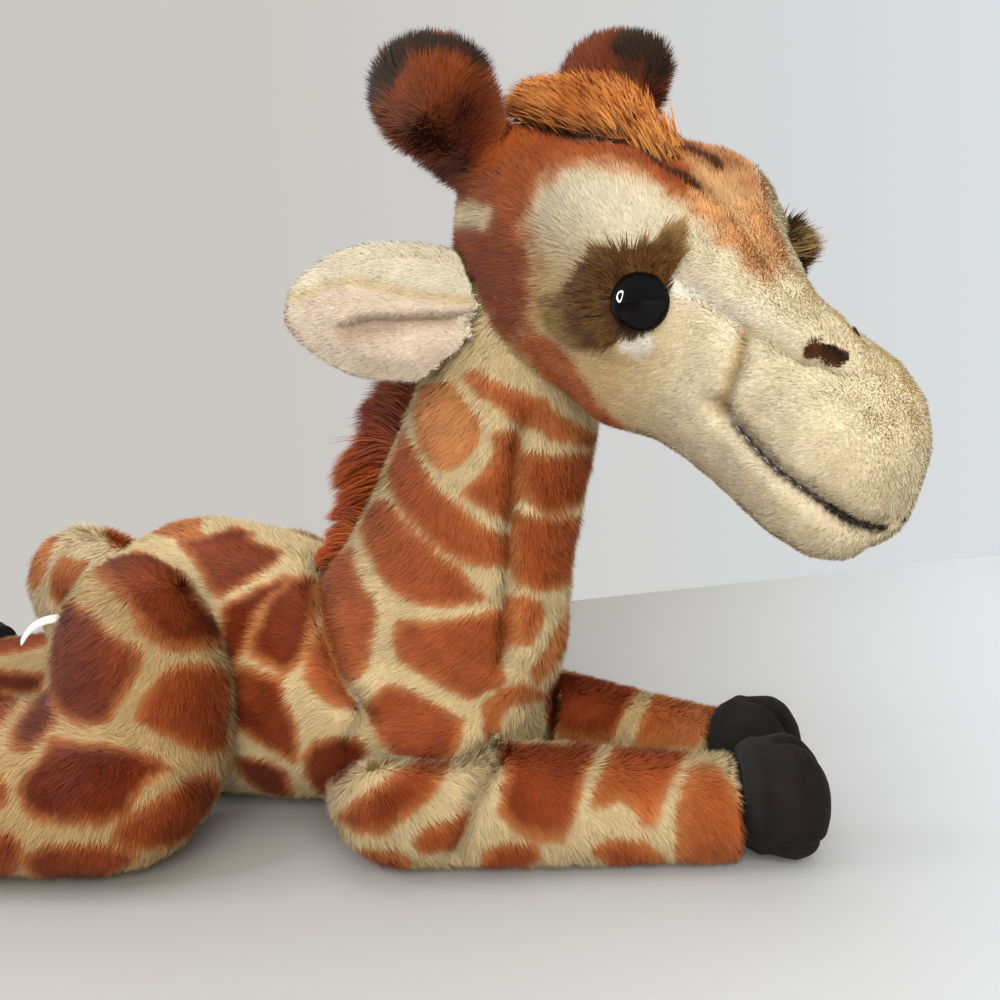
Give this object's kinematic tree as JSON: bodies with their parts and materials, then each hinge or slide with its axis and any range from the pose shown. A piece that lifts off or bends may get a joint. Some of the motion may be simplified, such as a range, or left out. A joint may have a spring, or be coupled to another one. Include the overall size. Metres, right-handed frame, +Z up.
{
  "type": "plush giraffe",
  "caption": "Plush giraffe lying on its belly with a raised head, floppy ears, short horns, long-pile mane, suede hooves and limbs that swing at their seams.",
  "frame": {"origin": "middle of the toy's footprint box, on the surface that it lies on", "axes": "+X the way the chest and forelegs point, +Y the toy's left side, +Z up"},
  "size_m": [0.4956, 0.2546, 0.2852],
  "materials": {
    "giraffe_plush": "short plush pile, rust patches on cream",
    "cream_plush": "short plush pile, cream",
    "ear_plush": "short plush pile, pale cream",
    "ear_lining": "fine short pile, pale",
    "horn_plush": "short plush pile, dark rust",
    "long_pile": "long pile fur, rust",
    "dark_fur": "short dark brown pile",
    "hoof_suede": "dark brown suede cloth",
    "eye_plastic": "polished black",
    "washer_plastic": "moulded, natural white",
    "thread": "twisted dark thread",
    "satin": "woven satin ribbon",
    "bag_cotton": "plain woven cotton"
  },
  "bodies": {
    "body": {"torso": "giraffe_plush", "pellet_bag": "bag_cotton", "closing_seam": "thread", "care_label": "satin"},
    "neck": {"neck": "giraffe_plush", "mane": "long_pile"},
    "head": {"head": "cream_plush", "mouth_thread": "thread", "forelock": "long_pile", "eye_right": "eye_plastic", "eye_left": "eye_plastic", "eye_washer_right": "washer_plastic", "eye_washer_left": "washer_plastic", "eye_patch_right": "dark_fur", "eye_patch_left": "dark_fur", "eyelash_right": "dark_fur", "eyelash_left": "dark_fur", "horn_right": "horn_plush", "horn_left": "horn_plush", "nostril_right": "dark_fur", "nostril_left": "dark_fur"},
    "ear_right": {"ear_right": "ear_plush", "ear_lining_right": "ear_lining"},
    "ear_left": {"ear_left": "ear_plush", "ear_lining_left": "ear_lining"},
    "foreleg_right": {"foreleg_right": "giraffe_plush", "fore_hoof_right": "hoof_suede"},
    "foreleg_left": {"foreleg_left": "giraffe_plush", "fore_hoof_left": "hoof_suede"},
    "hindleg_right": {"hindleg_right": "giraffe_plush", "hind_hoof_right": "hoof_suede"},
    "hindleg_left": {"hindleg_left": "giraffe_plush", "hind_hoof_left": "hoof_suede"},
    "tail": {"tail": "giraffe_plush", "tail_tuft": "long_pile"}
  },
  "joints": [
    {"name": "neck_lean", "type": "hinge", "parent": "body", "child": "neck", "pos_m": [0.07783, 0.01797, 0.072], "axis": [0, 1, 0], "range_deg": [-8, 12], "stiffness_Nm_per_rad": 3},
    {"name": "head_turn", "type": "hinge", "parent": "neck", "child": "head", "pos_m": [0.11047, 0.01797, 0.15703], "axis": [0.3584, 0, 0.9336], "range_deg": [-25, 25], "stiffness_Nm_per_rad": 0.6},
    {"name": "ear_right_flop", "type": "hinge", "parent": "head", "child": "ear_right", "pos_m": [0.1111, -0.00651, 0.18281], "axis": [-0.0673, -0.1378, -0.9882], "range_deg": [-20, 20], "stiffness_Nm_per_rad": 0.03},
    {"name": "ear_left_flop", "type": "hinge", "parent": "head", "child": "ear_left", "pos_m": [0.1477, 0.05355, 0.19394], "axis": [0.2466, 0.3772, -0.8927], "range_deg": [-20, 20], "stiffness_Nm_per_rad": 0.03},
    {"name": "foreleg_right_swing", "type": "hinge", "parent": "body", "child": "foreleg_right", "pos_m": [0.08383, -0.03503, 0.028], "axis": [0, 1, 0], "range_deg": [-20, 60], "stiffness_Nm_per_rad": 0.4},
    {"name": "foreleg_left_swing", "type": "hinge", "parent": "body", "child": "foreleg_left", "pos_m": [0.07183, 0.07097, 0.028], "axis": [0, 1, 0], "range_deg": [-20, 60], "stiffness_Nm_per_rad": 0.4},
    {"name": "hindleg_right_swing", "type": "hinge", "parent": "body", "child": "hindleg_right", "pos_m": [-0.01417, -0.04503, 0.05], "axis": [0, 1, 0], "range_deg": [-60, 15], "stiffness_Nm_per_rad": 1.3},
    {"name": "hindleg_left_swing", "type": "hinge", "parent": "body", "child": "hindleg_left", "pos_m": [-0.02617, 0.08097, 0.05], "axis": [0, 1, 0], "range_deg": [-60, 15], "stiffness_Nm_per_rad": 1.3},
    {"name": "tail_lift", "type": "hinge", "parent": "body", "child": "tail", "pos_m": [-0.07217, 0.01797, 0.087], "axis": [0, 1, 0], "range_deg": [0, 30], "stiffness_Nm_per_rad": 0.06}
  ]
}
